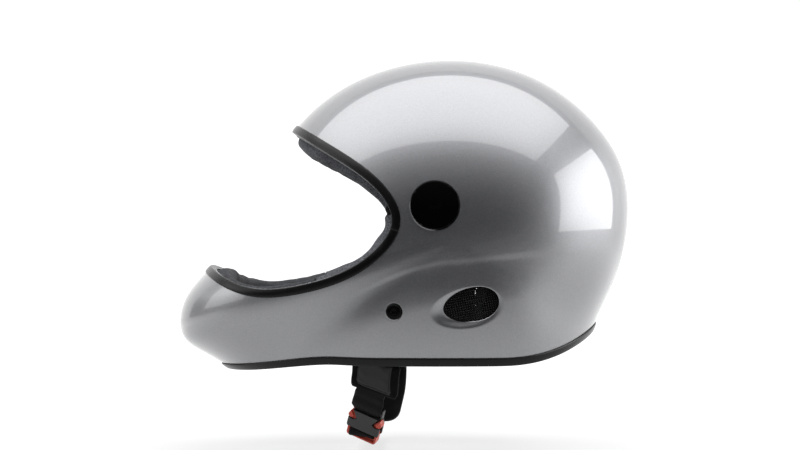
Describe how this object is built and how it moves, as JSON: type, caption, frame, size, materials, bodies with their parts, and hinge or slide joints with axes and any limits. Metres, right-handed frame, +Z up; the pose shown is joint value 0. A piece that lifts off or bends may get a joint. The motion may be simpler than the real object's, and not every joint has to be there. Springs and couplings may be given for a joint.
{
  "type": "full face helmet",
  "caption": "Full face sport helmet with an open face port, side caps over accessory threads, ear vents, soft lining and a quick-release chin strap.",
  "frame": {"origin": "middle of the neck opening in the plane of the rim, on the head's axis", "axes": "+Z up through the crown, -Y the way the wearer faces, +X the wearer's left"},
  "size_m": [0.2554, 0.3505, 0.2947],
  "materials": {
    "shell_lacquer": "gloss silver-grey lacquer",
    "trim_rubber": "satin black",
    "crush_foam": "matt charcoal expanded foam",
    "lining_cloth": "brushed blue-grey knit",
    "comfort_cloth": "quilted dark knit",
    "cap_gloss": "gloss black",
    "insert_brass": "turned",
    "vent_net": "satin black wire",
    "rivet_black": "semi-gloss black",
    "hanger_steel": "zinc plated",
    "webbing_black": "ribbed black webbing",
    "pad_grey": "smooth grey cover, stitched",
    "pad_black": "black cover",
    "buckle_dark": "fine moulded grain",
    "buckle_red": "semi-gloss red"
  },
  "bodies": {
    "helmet": {"outer_shell": "shell_lacquer", "face_trim": "trim_rubber", "rim_trim": "trim_rubber", "impact_liner": "crush_foam", "chin_foam": "crush_foam", "crown_pad": "comfort_cloth", "brow_pad": "lining_cloth", "neck_roll": "comfort_cloth", "cheek_pad_left": "lining_cloth", "cheek_pad_right": "lining_cloth", "chin_lining": "lining_cloth", "pivot_insert_left": "insert_brass", "pivot_insert_right": "insert_brass", "vent_mesh_left": "vent_net", "vent_mesh_right": "vent_net", "anchor_rivet_left": "rivet_black", "anchor_rivet_right": "rivet_black", "anchor_washers_left": "hanger_steel", "anchor_washers_right": "hanger_steel"},
    "chin_strap": {"hanger_plate_left": "hanger_steel", "hanger_plate_right": "hanger_steel", "webbing_left": "webbing_black", "webbing_right": "webbing_black", "strap_pad_left": "pad_grey", "strap_pad_right": "pad_black", "buckle_socket": "buckle_dark", "chin_webbing": "webbing_black"},
    "plug": {"buckle_plug": "buckle_red"},
    "prong_front": {"prong_front": "buckle_red"},
    "prong_rear": {"prong_rear": "buckle_red"},
    "cap_left": {"pivot_cap_left": "cap_gloss"},
    "cap_right": {"pivot_cap_right": "cap_gloss"}
  },
  "joints": [
    {"name": "strap_swing", "type": "hinge", "parent": "helmet", "child": "chin_strap", "pos_m": [0, -0.036, 0.041], "axis": [1, 0, 0], "range_deg": [-18, 32]},
    {"name": "buckle_slide", "type": "slide", "parent": "chin_strap", "child": "plug", "axis": [-0.4432, -0.2169, -0.8698], "range_m": [0, 0.024], "deforming": ["chin_webbing"]},
    {"name": "prong_front_squeeze", "type": "hinge", "parent": "plug", "child": "prong_front", "pos_m": [0.06682, -0.06621, -0.04397], "axis": [-0.8486, 0.4142, 0.3291], "range_deg": [0, 9], "stiffness_Nm_per_rad": 0.02},
    {"name": "prong_rear_squeeze", "type": "hinge", "parent": "plug", "child": "prong_rear", "pos_m": [0.07217, -0.04986, -0.05077], "axis": [-0.8486, 0.4142, 0.3291], "range_deg": [-9, 0], "stiffness_Nm_per_rad": 0.02},
    {"name": "cap_left_pull", "type": "slide", "parent": "helmet", "child": "cap_left", "axis": [0.9816, 0, 0.1908], "range_m": [0, 0.015]},
    {"name": "cap_right_pull", "type": "slide", "parent": "helmet", "child": "cap_right", "axis": [-0.9816, 0, 0.1908], "range_m": [0, 0.015]}
  ],
  "couplings": [
    {"joint": "prong_rear_squeeze", "follows": "prong_front_squeeze", "ratio": -1}
  ]
}
